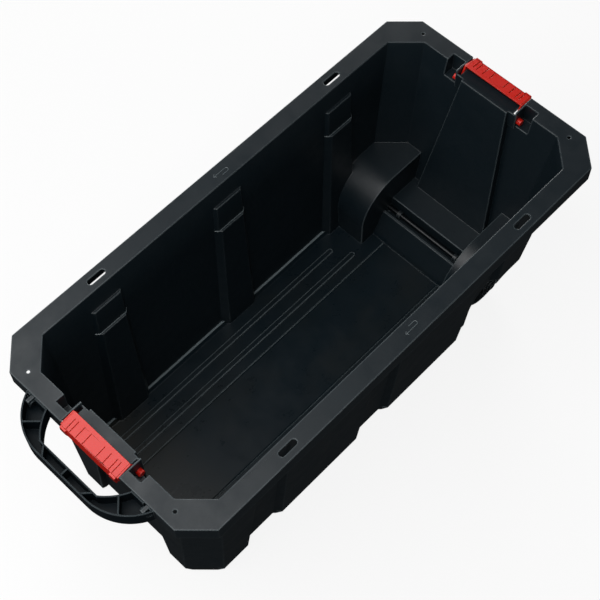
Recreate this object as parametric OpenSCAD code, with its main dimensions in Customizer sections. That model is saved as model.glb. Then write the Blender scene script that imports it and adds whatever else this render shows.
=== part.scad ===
// Wheeled tool storage tote: an open moulded tub with a flanged rim, a rigid tow
// loop at one end, a red latch at each end and two wheels in wells at the other.
// X runs along the tub from the tow loop to the wheels, Y across it, Z up from the
// ground. The origin is on the ground below the middle of the rim.

/* [Rim] */
// Length of the rim over its outer edges
rim_l = 1092; // [1040:1:1140]
// Width of the rim over its outer edges
rim_w = 523; // [500:1:560]
// Height of the rim's top face above the ground
rim_h = 450; // [430:1:480]
// Width of the flat flange round the mouth
flange_w = 39; // [36:0.5:44]
// Thickness of the flange
flange_t = 3.5; // [2.5:0.1:5]
// Depth of the skirt that hangs from the flange's outer edge
skirt_d = 38; // [34:1:44]
// Length cut from each rim corner along X
corner_x = 50.4; // [44:0.2:56]
// Width cut from each rim corner along Y
corner_y = 53.2; // [46:0.2:58]
// Thickness of the stiffening ribs under the flange
rim_rib_t = 2.5; // [2:0.1:4]
// Height of the stiffening ribs under the flange
rim_rib_h = 18; // [12:1:24]

/* [Tub walls] */
// Thickness of the tub's walls
wall = 3.5; // [2.8:0.1:4.5]
// Thickness of the tub's floor
floor_t = 5; // [4:0.1:6]
// Clearance of the floor's underside above the ground
floor_lift = 5; // [4:0.5:8]
// Draft of the two long walls, in degrees
side_draft = 3.7; // [3:0.1:4.4]
// Draft of the end wall under the tow loop, in degrees
tow_draft = 0.6; // [0.2:0.1:1.2]
// Draft of the end wall over the wheels, in degrees
wheel_draft = 9; // [8.4:0.1:9.5]
// Width of the bevel round the tub's foot
foot_bevel = 9; // [6:0.5:12]

/* [Rim openings] */
// Diameter of the screw hole near each corner
rim_hole_d = 6.5; // [5:0.1:8]
// Distance of the corner holes from the middle along X
rim_hole_x = 522; // [515:1:526]
// Distance of the corner holes from the middle along Y
rim_hole_y = 186; // [170:1:195]
// Length of the strap slots in the long sides
slot_l = 40; // [34:1:50]
// Width of the strap slots
slot_w = 12; // [10:0.5:15]
// Distance of the strap slots from the middle along X
slot_x = 312; // [290:1:330]

/* [Side pilasters] */
// Spacing of the three pilasters along each long wall
pil_pitch = 313; // [300:1:320]
// X of the middle pilaster at the rim's height
pil_mid_x = -3; // [-12:1:6]
// Width of the upper step's face at its top
pil_w = 60; // [50:1:72]
// Amount by which the lower step's face is narrower at its top
pil_step_w = 6; // [3:0.5:10]
// Depth of the upper step at its top
pil_d1 = 6; // [4:0.5:8]
// Depth of the lower step at the floor
pil_d2 = 13.5; // [12:0.5:16]
// Depth that each step gains from its top down to the floor
pil_grow = 2; // [1:0.1:4]
// Distance of the upper step's top below the rim
pil_top1 = 52; // [45:1:70]
// Distance of the lower step's top below the rim
pil_top2 = 120; // [110:1:150]
// Angle of the pilaster's flared sides, in degrees
pil_flare = 45; // [38:1:52]
// Angle at which the pilaster's face widens downward, in degrees
pil_widen = 1.4; // [0.8:0.1:2]
// Lean of the pilasters along the wall, toward the tow loop at the floor
pil_lean = 3.1; // [1:0.1:4]

/* [End pilasters] */
// Depth of the recess in the middle of each end wall
end_rec_d = 15; // [12:0.5:17]
// Half width of the end pilaster at its top
end_rec_y = 58; // [52:1:62]
// Angle at which the end pilaster widens downward, in degrees
end_rec_flare = 5.8; // [4.5:0.1:6.5]
// Drop of the platform on the end pilaster below the rim
platform_drop = 10; // [8:0.5:12]
// Thickness of the platform
platform_t = 3.5; // [3:0.1:4.5]

/* [Latch bay] */
// Depth of the bay below the rim
bay_d = 46.5; // [44:0.5:50]
// Distance of the bay's inner plate from the mouth's end, toward the middle
plate_in = 10.5; // [9:0.5:12]
// Width of the pocket on each side of the bay
pocket_w = 30; // [26:0.5:34]
// Depth of the pockets below the rim
pocket_d = 43; // [41:0.5:46]
// Length of the pockets cut into the flange
pocket_l = 19; // [16:0.5:22]

/* [Latches] */
// Width of the latch's top bar across the tub
latch_w = 140; // [134:1:142]
// Distance of the latch's pivot from the end of the rim
latch_pivot_in = 38; // [36:0.5:39]
// Distance of the latch's pivot below the rim
latch_pivot_down = 34; // [33:0.5:35]
// Diameter of the latch's pivot pegs
peg_d = 14; // [12:0.5:14.5]
// Radial running clearance of the pegs in their holes
peg_clear = 0.08; // [0.05:0.01:0.1]
// Thickness of the latch's side cheeks
cheek_t = 4; // [3:0.1:4.4]
// Thickness of the latch's outer shell
latch_t = 3.2; // [2.5:0.1:4]
// Height of the latch's top above the rim
latch_rise = 3; // [2:0.5:5]
// Distance of the latch's inner edge from the end of the rim
latch_in = 30; // [28:0.5:32]
// Drop of the latch's top from its inner edge to its front edge
latch_slope = 6.5; // [5:0.5:8]
// Distance of the latch's front edge beyond the end of the rim
latch_front_out = 3; // [2:0.5:4]
// Distance that the latch's lip stands beyond the end of the rim
latch_lip_out = 6; // [5:0.5:8]
// Distance of the lip's lower edge below the rim
latch_lip_down = 19; // [17:0.5:21]
// Width of the raised ends of the latch
latch_ear_w = 15; // [12:0.5:18]
// Distance that the raised ends stand out in front of the middle
latch_ear_out = 4; // [3:0.5:5]
// Side clearance between the latch's cheeks and the bay
latch_side = 1; // [0.6:0.1:1.5]

/* [Tow loop] */
// Reach of the tow loop beyond the end of the rim
loop_reach = 66; // [60:1:80]
// Width of the grip bar, measured along X
grip_w = 20; // [18:0.5:26]
// Height of the loop's channel section
loop_h = 37; // [32:1:37.5]
// Depth of the open channel in the loop
loop_channel = 30; // [24:1:32]
// Thickness of the loop's walls and ribs
loop_t = 3; // [2.5:0.1:4]
// Radius of the loop's outer corners
loop_r = 107; // [95:1:115]
// Half width of the loop where its outer corners end
loop_y = 169; // [160:1:175]
// Radius of the loop's inner curve
loop_in_r = 118; // [112:1:124]
// Gap between the loop's root and the skirt
loop_gap = 0.3; // [0.2:0.1:0.6]
// Diameter of the pins that hold the loop
pin_d = 8; // [6:0.5:9]
// Radial clearance of the pins in their holes
pin_clear = 0.05; // [0.02:0.01:0.1]

/* [Wheels and axle] */
// Diameter of each wheel
wheel_d = 127; // [120:1:130]
// Width of the wheel's tread
wheel_w = 50; // [44:1:52]
// Gap between the wheel and the ground while the tub stands on its feet
wheel_lift = 1.5; // [1:0.1:2]
// Distance of the axle behind the middle of the rim
axle_x = 366; // [358:1:370]
// Diameter of the axle rod
axle_d = 12; // [10:0.5:12.5]
// Radial running clearance of the wheels on the axle
axle_clear = 0.08; // [0.05:0.01:0.1]
// Half distance between the inner faces of the wheel wells
well_y = 112; // [108:0.5:114]
// Radius of the wheel well's rounded front corner
well_r = 97; // [92:1:97]
// Gap between the wheel and the well's front wall, at the axle's height
well_front_gap = 24; // [22:0.5:28]
// Depth of the lip that the side wall hangs over the well
well_lip = 16; // [12:0.5:18]
// Distance of the collars on the axle from the middle
collar_y = 80; // [70:1:90]
// Diameter of the collars
collar_d = 18; // [16:0.5:19]
// Width of the collars
collar_w = 8; // [6:0.5:10]
// Thickness of the axle washers
washer_t = 1.5; // [1:0.1:2]
// Side play between the pieces on the axle
side_play = 0.3; // [0.2:0.05:0.4]

/* [Hump over the axle] */
// Distance of the ramp's foot in front of the axle
ramp_run = 50; // [46:1:56]
// Distance of the lip's front edge in front of the axle
lip_run = 18; // [17:0.5:20]
// Width of the flat lip in front of the trough
lip_w = 5; // [4:0.5:6]
// Width of the trough that the axle lies in
trough_w = 23; // [22:0.5:25]
// Depth of the trough below the axle's centre line
trough_d = 12; // [10:0.5:14]
// Height of the shelf above the axle's centre line
shelf_up = 25; // [20:0.5:30]

/* [Floor] */
// Half width of the sunk middle panel
panel_y = 78; // [72:1:84]
// Depth of the sunk middle panel
panel_d = 2; // [1:0.5:2.5]
// Width of the long floor ribs
rib_w = 13; // [10:0.5:16]
// Height of the long floor ribs
rib_h = 3; // [2:0.5:4]
// Distance of the inner rib from the middle
rib_in_y = 108; // [104:1:112]
// Distance of the outer rib from the middle
rib_out_y = 149; // [144:1:154]
// X at which the inner ribs end
rib_in_x = 250; // [230:1:256]
// X at which the outer ribs end
rib_out_x = 222; // [200:1:230]
// Length of the feet under the floor
foot_l = 90; // [60:1:120]
// Width of the feet under the floor
foot_w = 40; // [30:1:60]

/* [Hidden] */
$fn = 72;
big = 400;

half_l = rim_l / 2;
half_w = rim_w / 2;
mouth_x = half_l - flange_w;
mouth_y = half_w - flange_w;
floor_z = floor_lift + floor_t;
axle_z = wheel_d / 2 + wheel_lift;
well_front = axle_x - wheel_d / 2 - well_front_gap;
bay_z = rim_h - bay_d;
pocket_z = rim_h - pocket_d;
platform_z = rim_h - platform_drop;
cheek_y = latch_w / 2 + cheek_t - 1;
bay_y = cheek_y + latch_side;
pocket_y = bay_y + wall + pocket_w;
pocket_x = mouth_x + pocket_l;
plate_in_x = mouth_x - plate_in;
pivot_x = half_l - latch_pivot_in;
pivot_z = rim_h - latch_pivot_down;
web_out_y = well_y + wall;
lip_x = axle_x - lip_run;
lip_z = axle_z;
ramp_x = axle_x - ramp_run;
ramp_a = atan2(lip_z - floor_z, lip_x - ramp_x);
trough_x0 = lip_x + lip_w;
trough_x1 = trough_x0 + trough_w;
trough_z = axle_z - trough_d;
shelf_z = axle_z + shelf_up;
well_top_gap = 42;

// Ears on the skirt and the pins that go through them into the tow loop
ear_t = 8;
ear_l = 16;
ear_h = 20;
pin_z = rim_h - 13;
pin_x = half_l + 7.5;
pin_head_t = 3;
pin_head_d = pin_d + 5;
loop_cx = half_l + loop_reach - loop_r;
loop_cy = loop_y - loop_r;
loop_in_x = half_l - 48;
function loop_edge_y(x, t) = loop_cy + sqrt(pow(loop_r - t, 2) - pow(x - loop_cx, 2));
ear_y = loop_edge_y(pin_x + 6, loop_t) - ear_t - 1;

// Places along the axle, from the middle outward
hub_in = web_out_y + side_play + washer_t + side_play;
hub_l = wheel_w + 4;
hub_d = axle_d + 20;
tread_in = hub_in + 2;
washer_d = axle_d + 16;
nut_t = 5;
nut_y = hub_in + hub_l + 2 * side_play + washer_t;
axle_half = nut_y + nut_t + 3;

// Distance of each wall's inner face from the middle at height z, moved out by g
function side_at(z, g) = mouth_y + g / cos(side_draft) - (rim_h - z) * tan(side_draft);
function tow_at(z, g) = mouth_x + g / cos(tow_draft) - (rim_h - z) * tan(tow_draft);
function wheel_at(z, g) = mouth_x + g / cos(wheel_draft) - (rim_h - z) * tan(wheel_draft);

// Rim outline with the corners cut, moved in by d on all eight sides
cut_hyp = norm([corner_x, corner_y]);
cut_dist = (corner_y * half_l + corner_x * (half_w - corner_y)) / cut_hyp;
function cut_y_at(d) = ((cut_dist - d) * cut_hyp - corner_y * (half_l - d)) / corner_x;
function cut_x_at(d) = ((cut_dist - d) * cut_hyp - corner_x * (half_w - d)) / corner_y;
function rim_points(d) = [
    for (q = [[1, 1, 0], [-1, 1, 1], [-1, -1, 0], [1, -1, 1]])
        for (k = [0, 1])
            (k == q[2])
                ? [q[0] * (half_l - d), q[1] * cut_y_at(d)]
                : [q[0] * cut_x_at(d), q[1] * (half_w - d)]
];

// Mouth outline: a rectangle d inside the rim's, with corners cut by the same amount
function mouth_points(d) = [
    for (q = [[1, 1, 0], [-1, 1, 1], [-1, -1, 0], [1, -1, 1]])
        for (k = [0, 1])
            (k == q[2])
                ? [q[0] * (half_l - d), q[1] * (half_w - d - corner_y)]
                : [q[0] * (half_l - d - corner_x), q[1] * (half_w - d)]
];

// Solid bounded by the drafted walls, with its walls moved out by g and its
// floor at height z0
module body_form(g, z0, z1) {
    b = foot_bevel;
    intersection() {
        rotate([90, 0, 0])
            linear_extrude(2 * big, center = true)
                polygon([
                    [-tow_at(z0, g) + b, z0], [wheel_at(z0, g) - b, z0],
                    [wheel_at(z0 + b, g), z0 + b], [wheel_at(z1, g), z1],
                    [-tow_at(z1, g), z1], [-tow_at(z0 + b, g), z0 + b]
                ]);
        rotate([90, 0, 90])
            linear_extrude(4 * big, center = true)
                polygon([
                    [-side_at(z0, g) + b, z0], [side_at(z0, g) - b, z0],
                    [side_at(z0 + b, g), z0 + b], [side_at(z1, g), z1],
                    [-side_at(z1, g), z1], [-side_at(z0 + b, g), z0 + b]
                ]);
        corner_cuts(g, z0, z1);
    }
}

// Prism that keeps what lies inside the four slanting corner walls
module corner_cuts(g, z0, z1) {
    difference() {
        translate([-2 * big, -big, z0 - 1])
            cube([4 * big, 2 * big, z1 - z0 + 2]);
        for (sx = [-1, 1])
            for (sy = [-1, 1]) {
                a = atan2(sy * corner_x, sx * corner_y);
                d0 = corner_dist(sx, z0, g);
                d1 = corner_dist(sx, z1, g);
                slope = (d1 - d0) / (z1 - z0);
                rotate([0, 0, a])
                    rotate([90, 0, 0])
                        linear_extrude(2 * big, center = true)
                            polygon([
                                [d0 - 2 * slope, z0 - 2], [d1 + 2 * slope, z1 + 2],
                                [d1 + big, z1 + 2], [d0 + big, z0 - 2]
                            ]);
            }
    }
}

// Distance of a slanting corner wall from the middle, along its normal
function corner_dist(sx, z, g) =
    let (
        x = (sx > 0 ? wheel_at(z, 0) : tow_at(z, 0)),
        y = side_at(z, 0)
    )
    (corner_y * x + corner_x * (y - corner_y)) / cut_hyp + g;

// Space outside the tub's skin, moved toward the inside by g: at g = 0 it is what
// is cut from the outside, and at g = wall what the inside goes round
module outside_cuts(g) {
    side_pilasters(g);
    end_recess(g, -1);
    end_recess(g, 1);
    for (s = [-1, 1])
        latch_bay(g, s);
    wheel_wells(g);
    under_hump(g);
}

// Two stepped recesses in each pilaster on the long walls
module side_pilasters(g) {
    for (s = [-1, 1])
        for (k = [-1, 0, 1])
            translate([pil_mid_x + k * pil_pitch - (rim_h - floor_z) * tan(pil_lean), 0, 0])
                on_side(s) {
                    pilaster_step(g, pil_w, rim_h - pil_top1, pil_d1, pil_d1 + pil_grow);
                    pilaster_step(g, pil_w - pil_step_w, rim_h - pil_top2, pil_d2 - pil_grow, pil_d2);
                }
}

// Children on the +Y side, or mirrored to the other side for a negative s
module on_side(s) {
    if (s > 0)
        children();
    else
        mirror([0, 1, 0])
            children();
}

// Children at the +X end, or mirrored to the other end for a negative s
module at_end(s) {
    if (s > 0)
        children();
    else
        mirror([1, 0, 0])
            children();
}

// One recess of a side pilaster, with its face's width w at its top: the face
// leans a little more than the wall, and the inside of its top is at height top
module pilaster_step(g, w, top, d_top, d_floor) {
    y0 = side_at(floor_z, 0) - d_floor + wall;
    y1 = side_at(top, 0) - d_top + wall;
    w_low = w + 2 * (top - floor_z) * tan(pil_widen);
    intersection() {
        translate([0, y0, floor_z])
            rotate([-atan2(y1 - y0, top - floor_z), 0, 0])
                intersection() {
                    pilaster_flank(g, 1, w_low / 2);
                    pilaster_flank(g, -1, w_low / 2);
                }
        translate([-big / 2, 0, -floor_z])
            cube([big, big, top - wall + g + floor_z]);
    }
}

// What lies inside one flared flank of a recess, and behind its face
module pilaster_flank(g, s, half) {
    reach = 60;
    corner = g * (1 - sin(pil_flare)) / cos(pil_flare);
    rotate([0, pil_lean - s * pil_widen, 0])
        translate([s * half, 0, -reach])
            linear_extrude(2 * big)
                polygon([
                    [-s * big / 2, -g], [s * corner, -g],
                    [s * (corner + (reach + g) * tan(pil_flare)), reach],
                    [-s * big / 2, reach]
                ]);
}

// Recess up the middle of an end wall, which carries the platform on its top
module end_recess(g, s) {
    lean = (s > 0 ? wheel_draft : tow_draft);
    top = platform_z - platform_t;
    x_top = mouth_x - end_rec_d + wall - (rim_h - top) * tan(lean);
    run = (top + 40) / cos(lean);
    y_top = end_rec_y - wall;
    y_low = y_top + run * tan(end_rec_flare);
    reach = 90;
    rise = (g > 0 ? platform_t : 0);
    at_end(s)
        intersection() {
            translate([x_top, 0, top])
                rotate([0, lean, 0])
                    translate([-g, 0, 0])
                        rotate([0, 90, 0])
                            linear_extrude(reach)
                                polygon([
                                    [-30, -y_top - g], [-30, y_top + g],
                                    [0, y_top + g], [run, y_low + g],
                                    [run, -y_low - g], [0, -y_top - g]
                                ]);
            translate([0, -big, -50])
                cube([2 * big, 2 * big, top + rise + 50]);
        }
}

// Gap in an end wall and the rim for a latch
module latch_bay(g, s) {
    at_end(s)
        translate([plate_in_x + wall - g, -bay_y - g, bay_z - g])
            cube([100, 2 * (bay_y + g), bay_d + g + 20]);
}

// Profile of a wheel well from the side, moved out by g
module well_profile(g) {
    r = well_r - wall + g;
    x = well_front + well_r;
    z = axle_z + wheel_d / 2 + well_top_gap - well_r;
    translate([x, z])
        circle(r);
    translate([x, -50])
        square([300, z + r + 50]);
    translate([x - r, -50])
        square([300, z + 50]);
}

// The two wheel wells, open to the side, to the rear and below
module wheel_wells(g) {
    for (s = [-1, 1])
        on_side(s) {
            intersection() {
                translate([0, web_out_y - g, 0])
                    rotate([90, 0, 0])
                        mirror([0, 0, 1])
                            linear_extrude(big)
                                well_profile(g);
                if (g == 0)
                    body_form(0, -60, rim_h);
            }
            translate([0, web_out_y - g, 0])
                rotate([90, 0, 0])
                    mirror([0, 0, 1])
                        linear_extrude(big)
                            well_profile(g - well_lip);
        }
}

// Open space below the hump between the wells
module under_hump(g) {
    shift = (wall - g) / sin(ramp_a);
    low = trough_z - wall;
    x_low = ramp_x + (low - floor_z) / tan(ramp_a) + shift;
    x_foot = ramp_x - (floor_z + 1) / tan(ramp_a) + shift;
    half = web_out_y - 2 * wall + g;
    translate([0, half, 0])
        rotate([90, 0, 0])
            linear_extrude(2 * half)
                if (g == 0)
                    polygon([
                        [x_foot, -1], [x_low, low], [trough_x1 + wall, low],
                        [trough_x1 + wall, shelf_z - wall], [2 * big, shelf_z - wall],
                        [2 * big, -1]
                    ]);
                else
                    polygon([
                        [x_foot, -1], [lip_x, lip_z], [trough_x0, lip_z],
                        [trough_x0, trough_z], [trough_x1, trough_z],
                        [trough_x1, shelf_z], [2 * big, shelf_z], [2 * big, -1]
                    ]);
}

// Trim that lets the tub tip back on its wheels
module tip_relief() {
    rotate([90, 0, 0])
        linear_extrude(2 * big, center = true)
            polygon([
                [ramp_x + 12, -1], [ramp_x + 40, axle_z - 16], [axle_x + 22, axle_z - 16],
                [wheel_at(shelf_z, 0) - 12, shelf_z - wall - 6], [2 * big, shelf_z - wall - 6],
                [2 * big, -1]
            ]);
}

// Rim: flange, skirt and stiffening ribs
module rim() {
    translate([0, 0, rim_h - flange_t])
        linear_extrude(flange_t)
            difference() {
                polygon(rim_points(0));
                polygon(mouth_points(flange_w));
            }
    translate([0, 0, rim_h - skirt_d])
        linear_extrude(skirt_d)
            difference() {
                polygon(rim_points(0));
                polygon(rim_points(wall));
            }
    intersection() {
        translate([0, 0, rim_h - flange_t - rim_rib_h])
            linear_extrude(rim_rib_h + 1)
                difference() {
                    polygon(rim_points(wall - 1));
                    polygon(mouth_points(flange_w));
                }
        union() {
            for (k = [-4 : 4])
                translate([k * slot_x / 3 + slot_x / 6 - rim_rib_t / 2, -big, 0])
                    cube([rim_rib_t, 2 * big, rim_h]);
            for (s = [-1, 1])
                translate([-2 * big, s * (pocket_y + 46) - rim_rib_t / 2, 0])
                    cube([4 * big, rim_rib_t, rim_h]);
        }
    }
}

// Walls round the two pockets beside each latch bay
module pocket_housing(s) {
    at_end(s)
        for (t = [-1, 1])
            on_side(t)
                translate([plate_in_x, bay_y, bay_z])
                    cube([pocket_x + wall - plate_in_x, pocket_y + wall - bay_y, bay_d]);
}

module pocket_void(s) {
    at_end(s)
        for (t = [-1, 1])
            on_side(t)
                translate([plate_in_x - 40, bay_y + wall, pocket_z])
                    cube([pocket_x - plate_in_x + 40, pocket_y - bay_y - wall, pocket_d + 1]);
}

// Platform's edge below the latch bar, clear of the latch's swing
module platform_shelf(s) {
    half = latch_w / 2 - 2;
    at_end(s)
        translate([plate_in_x, -half, platform_z - platform_t])
            cube([half_l - 19 - plate_in_x, 2 * half, platform_t]);
}

// Long raised rib with round ends
module floor_rib(y, x_end, grow) {
    x0 = -tow_at(floor_z, 0) + end_rec_d + 12;
    r = rib_w / 2 + grow;
    translate([x_end - r, y])
        circle(r);
    translate([x0, y])
        circle(r);
    translate([x0, y - r])
        square([x_end - r - x0, 2 * r]);
}

module floor_ribs(grow) {
    for (s = [-1, 1]) {
        floor_rib(s * rib_in_y, rib_in_x, grow);
        floor_rib(s * rib_out_y, rib_out_x, grow);
    }
}

// Feet near the corners and under the middle, which the tub stands on
module feet() {
    for (x = [-tow_at(0, 0) + foot_bevel + foot_l / 2 + 24, well_front - foot_l / 2 - 12])
        for (s = [-1, 1])
            translate([x - foot_l / 2, s * rib_out_y - foot_w / 2, 0])
                cube([foot_l, foot_w, floor_lift + 1]);
    translate([-foot_l / 2, -foot_w / 2, 0])
        cube([foot_l, foot_w, floor_lift + 1]);
}

// Ears on the skirt that the tow loop's pins go through
module loop_ears() {
    for (s = [-1, 1])
        translate([-half_l - ear_l + 1, s * ear_y + (s > 0 ? 0 : -ear_t), pin_z - ear_h / 2])
            cube([ear_l, ear_t, ear_h]);
}

module pin_bores() {
    for (s = [-1, 1])
        on_side(s)
            translate([-pin_x, ear_y - 10, pin_z])
                rotate([-90, 0, 0])
                    cylinder(h = 60, d = pin_d + 2 * pin_clear);
}

module tub() {
    color("#24272a")
        difference() {
            union() {
                difference() {
                    body_form(wall, floor_lift, rim_h);
                    outside_cuts(0);
                }
                rim();
                for (s = [-1, 1]) {
                    pocket_housing(s);
                    axle_bosses(s);
                }
                feet();
                loop_ears();
            }
            difference() {
                body_form(0, floor_z, rim_h + 1);
                outside_cuts(wall);
                translate([0, 0, floor_z - 1])
                    linear_extrude(rib_h + 1)
                        floor_ribs(0);
            }
            for (s = [-1, 1])
                pocket_void(s);
            latch_gaps();
            tip_relief();
            translate([0, 0, -1])
                linear_extrude(floor_lift + rib_h + 1)
                    floor_ribs(-wall);
            translate([ramp_x, -panel_y, floor_z - panel_d])
                mirror([1, 0, 0])
                    cube([ramp_x + tow_at(floor_z, 0) - end_rec_d - 4, 2 * panel_y, panel_d + 1]);
            rim_openings();
            peg_bores();
            pin_bores();
            axle_bore();
        }
    color("#24272a")
        for (s = [-1, 1])
            platform_shelf(s);
}

// Thick rings round the axle where it leaves the wells
module axle_bosses(s) {
    translate([axle_x, s * (web_out_y - wall), axle_z])
        rotate([90, 0, 0])
            cylinder(h = 2 * wall, r = axle_d / 2 + 7, center = true);
}

module axle_bore() {
    translate([axle_x, 0, axle_z])
        rotate([90, 0, 0])
            cylinder(h = 2 * (web_out_y + 5), r = axle_d / 2 + pin_clear, center = true);
}

// Gap through the flange and skirt for each latch, and the slots for its cheeks
module latch_gaps() {
    for (s = [-1, 1])
        at_end(s) {
            translate([plate_in_x + wall, -bay_y, bay_z])
                cube([100, 2 * bay_y, bay_d + 20]);
            translate([plate_in_x - 20, -bay_y, platform_z])
                cube([120, 2 * bay_y, platform_drop + 20]);
        }
}

module rim_openings() {
    for (sx = [-1, 1])
        for (sy = [-1, 1]) {
            translate([sx * rim_hole_x, sy * rim_hole_y, rim_h - flange_t - 1])
                cylinder(h = flange_t + 2, d = rim_hole_d);
            translate([sx * slot_x, sy * (half_w - flange_w / 2), rim_h - flange_t - 1])
                linear_extrude(flange_t + 2) {
                    for (t = [-1, 1])
                        translate([t * (slot_l - slot_w) / 2, 0])
                            circle(d = slot_w);
                    square([slot_l - slot_w, slot_w], center = true);
                }
        }
}

module peg_bores() {
    for (s = [-1, 1])
        translate([s * pivot_x, 0, pivot_z])
            rotate([90, 0, 0])
                cylinder(h = 2 * (bay_y + wall + 2), d = peg_d + 2 * peg_clear, center = true);
}

// Outline of the tow loop seen from above, with its walls moved in by t
module loop_plan(t) {
    difference() {
        intersection() {
            union() {
                for (s = [-1, 1])
                    translate([-loop_cx, s * loop_cy])
                        circle(loop_r - t);
                translate([-half_l - loop_reach + t, -loop_cy])
                    square([loop_r, 2 * loop_cy]);
                translate([-loop_cx, -loop_y + t])
                    square([loop_r, 2 * (loop_y - t)]);
            }
            translate([-half_l - big - loop_gap - t, -big])
                square([big, 2 * big]);
        }
        intersection() {
            translate([-loop_in_x, 0])
                circle(loop_in_r + t);
            translate([-half_l - loop_reach + grip_w - t, -big])
                square([big, 2 * big]);
        }
    }
}

module tow_loop() {
    color("#1c1e20")
        difference() {
            translate([0, 0, rim_h - loop_h])
                linear_extrude(loop_h)
                    loop_plan(0);
            difference() {
                translate([0, 0, rim_h - loop_channel])
                    linear_extrude(loop_channel + 1)
                        loop_plan(loop_t);
                loop_ribs();
            }
            for (s = [-1, 1])
                on_side(s)
                    translate([
                        -half_l - loop_t - 1, ear_y - pin_head_t - 3 * loop_gap,
                        pin_z - ear_h / 2 - loop_gap
                    ])
                        cube([loop_t + 2, ear_t + pin_head_t + 4 * loop_gap, 2 * ear_h]);
            pin_bores();
        }
}

// Cross ribs in the loop's channel: one in the middle, two pairs round the corners
module loop_ribs() {
    rib_low = rim_h - loop_channel - 1;
    translate([-half_l - loop_reach, -loop_t / 2, rib_low])
        cube([loop_reach, loop_t, loop_channel + 1]);
    for (s = [-1, 1])
        for (r = [[loop_reach - grip_w, loop_cy + 2, 42], [21, loop_cy + 35, -46]])
            on_side(s)
                translate([-half_l - r[0], r[1], rib_low])
                    rotate([0, 0, r[2]])
                        translate([-60, -loop_t / 2, 0])
                            cube([80, loop_t, loop_channel + 1]);
}

// Headed pin through the ear and the loop's outer wall, with its head inside the ear
module loop_pin(s) {
    head_y = ear_y - loop_gap;
    end_y = loop_edge_y(pin_x + pin_d / 2, 0);
    color("#1c1e20")
        on_side(s)
            translate([-pin_x, 0, pin_z])
                rotate([-90, 0, 0]) {
                    translate([0, 0, head_y - pin_head_t])
                        cylinder(h = end_y - head_y + pin_head_t, d = pin_d);
                    translate([0, 0, head_y - pin_head_t])
                        cylinder(h = pin_head_t, d = pin_head_d);
                }
}

// Latch for the end at +X: a shell over the rim's gap on two cheeks with pegs
module latch() {
    x0 = half_l - latch_in;
    x1 = half_l + latch_front_out;
    top = rim_h + latch_rise;
    slope = atan2(latch_slope, x1 - x0);
    groove_l = x1 - x0 - 10;
    color("#c8232c")
        difference() {
            union() {
                latch_shell(x0, x1, top);
                for (s = [-1, 1])
                    on_side(s) {
                        latch_cheek(x0, x1, top);
                        latch_ear(x0, x1, top);
                    }
                latch_ribs(x0, x1, top);
            }
            for (y = [-58, -49.5, -34, -17, 17, 34, 49.5, 58])
                translate([x0, y * latch_w / 140, top])
                    rotate([0, slope, 0])
                        translate([9, -0.6, -0.5])
                            cube([groove_l, 1.2, 3]);
        }
}

// Sloped top and flared lip of the latch
module latch_shell(x0, x1, top) {
    x2 = half_l + latch_lip_out;
    z2 = rim_h - latch_lip_down;
    front = top - latch_slope;
    translate([0, latch_w / 2, 0])
        rotate([90, 0, 0])
            linear_extrude(latch_w)
                polygon([
                    [x0, top - latch_t], [x0, top], [x1, front], [x2, z2],
                    [x2 - latch_t, z2], [x1 - latch_t, front - latch_t]
                ]);
}

// Raised end of the latch, which stands out in front and hangs lower
module latch_ear(x0, x1, top) {
    x2 = x1 + latch_ear_out;
    front = top - latch_slope - 1;
    low = rim_h - latch_lip_down - 7;
    translate([0, latch_w / 2, 0])
        rotate([90, 0, 0])
            linear_extrude(latch_ear_w)
                polygon([
                    [x1 - 8, front - 1], [x1 - 2, front + 1.2], [x2, front],
                    [x2 + 0.5, low + 10], [x2 - 2, low], [x2 - 2 - latch_t, low],
                    [x1 - latch_t, front - latch_t - 4]
                ]);
}

// Side plate of the latch with its pivot peg
module latch_cheek(x0, x1, top) {
    front = top - latch_slope;
    peg_l = bay_y + wall + 9 - cheek_y + cheek_t;
    translate([0, cheek_y, 0])
        rotate([90, 0, 0])
            linear_extrude(cheek_t) {
                translate([pivot_x, pivot_z])
                    circle(d = peg_d);
                polygon([
                    [pivot_x - 3, pivot_z + 6], [pivot_x + 10, pivot_z + 4.5],
                    [x1 - 2, pivot_z + 14], [x1 - 1, front - 1], [x0 + 1, top - 1.2]
                ]);
            }
    translate([pivot_x, cheek_y - cheek_t, pivot_z])
        rotate([-90, 0, 0])
            cylinder(h = peg_l, d = peg_d);
}

// Stiffening ribs inside the latch's shell
module latch_ribs(x0, x1, top) {
    front = top - latch_slope;
    for (k = [-2 : 2])
        translate([0, k * latch_w / 6 + 1, 0])
            rotate([90, 0, 0])
                linear_extrude(2)
                    polygon([
                        [x0 + 12, top - 4], [x1 - 2, front - 2], [x1 + 1, pivot_z + 20],
                        [x1 - 5, pivot_z + 24]
                    ]);
}

module latch_rear() {
    latch();
}

module latch_front() {
    mirror([1, 0, 0])
        latch();
}

// Wheel on the +Y side: tread ring, web, spokes and hub in one moulding
module wheel() {
    color("#2b2d30")
        translate([axle_x, 0, axle_z])
            rotate([-90, 0, 0])
                difference() {
                    union() {
                        translate([0, 0, tread_in])
                            rotate_extrude()
                                polygon([
                                    [wheel_d / 2 - 9, 0], [wheel_d / 2 - 3, 0],
                                    [wheel_d / 2, 4], [wheel_d / 2, wheel_w - 4],
                                    [wheel_d / 2 - 3, wheel_w], [wheel_d / 2 - 9, wheel_w]
                                ]);
                        translate([0, 0, tread_in + wheel_w / 2 - 3])
                            cylinder(h = 6, d = wheel_d - 16);
                        translate([0, 0, hub_in])
                            cylinder(h = hub_l, d = hub_d);
                        wheel_spokes();
                    }
                    translate([0, 0, hub_in - 1])
                        cylinder(h = hub_l + 2, r = axle_d / 2 + axle_clear);
                }
}

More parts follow.
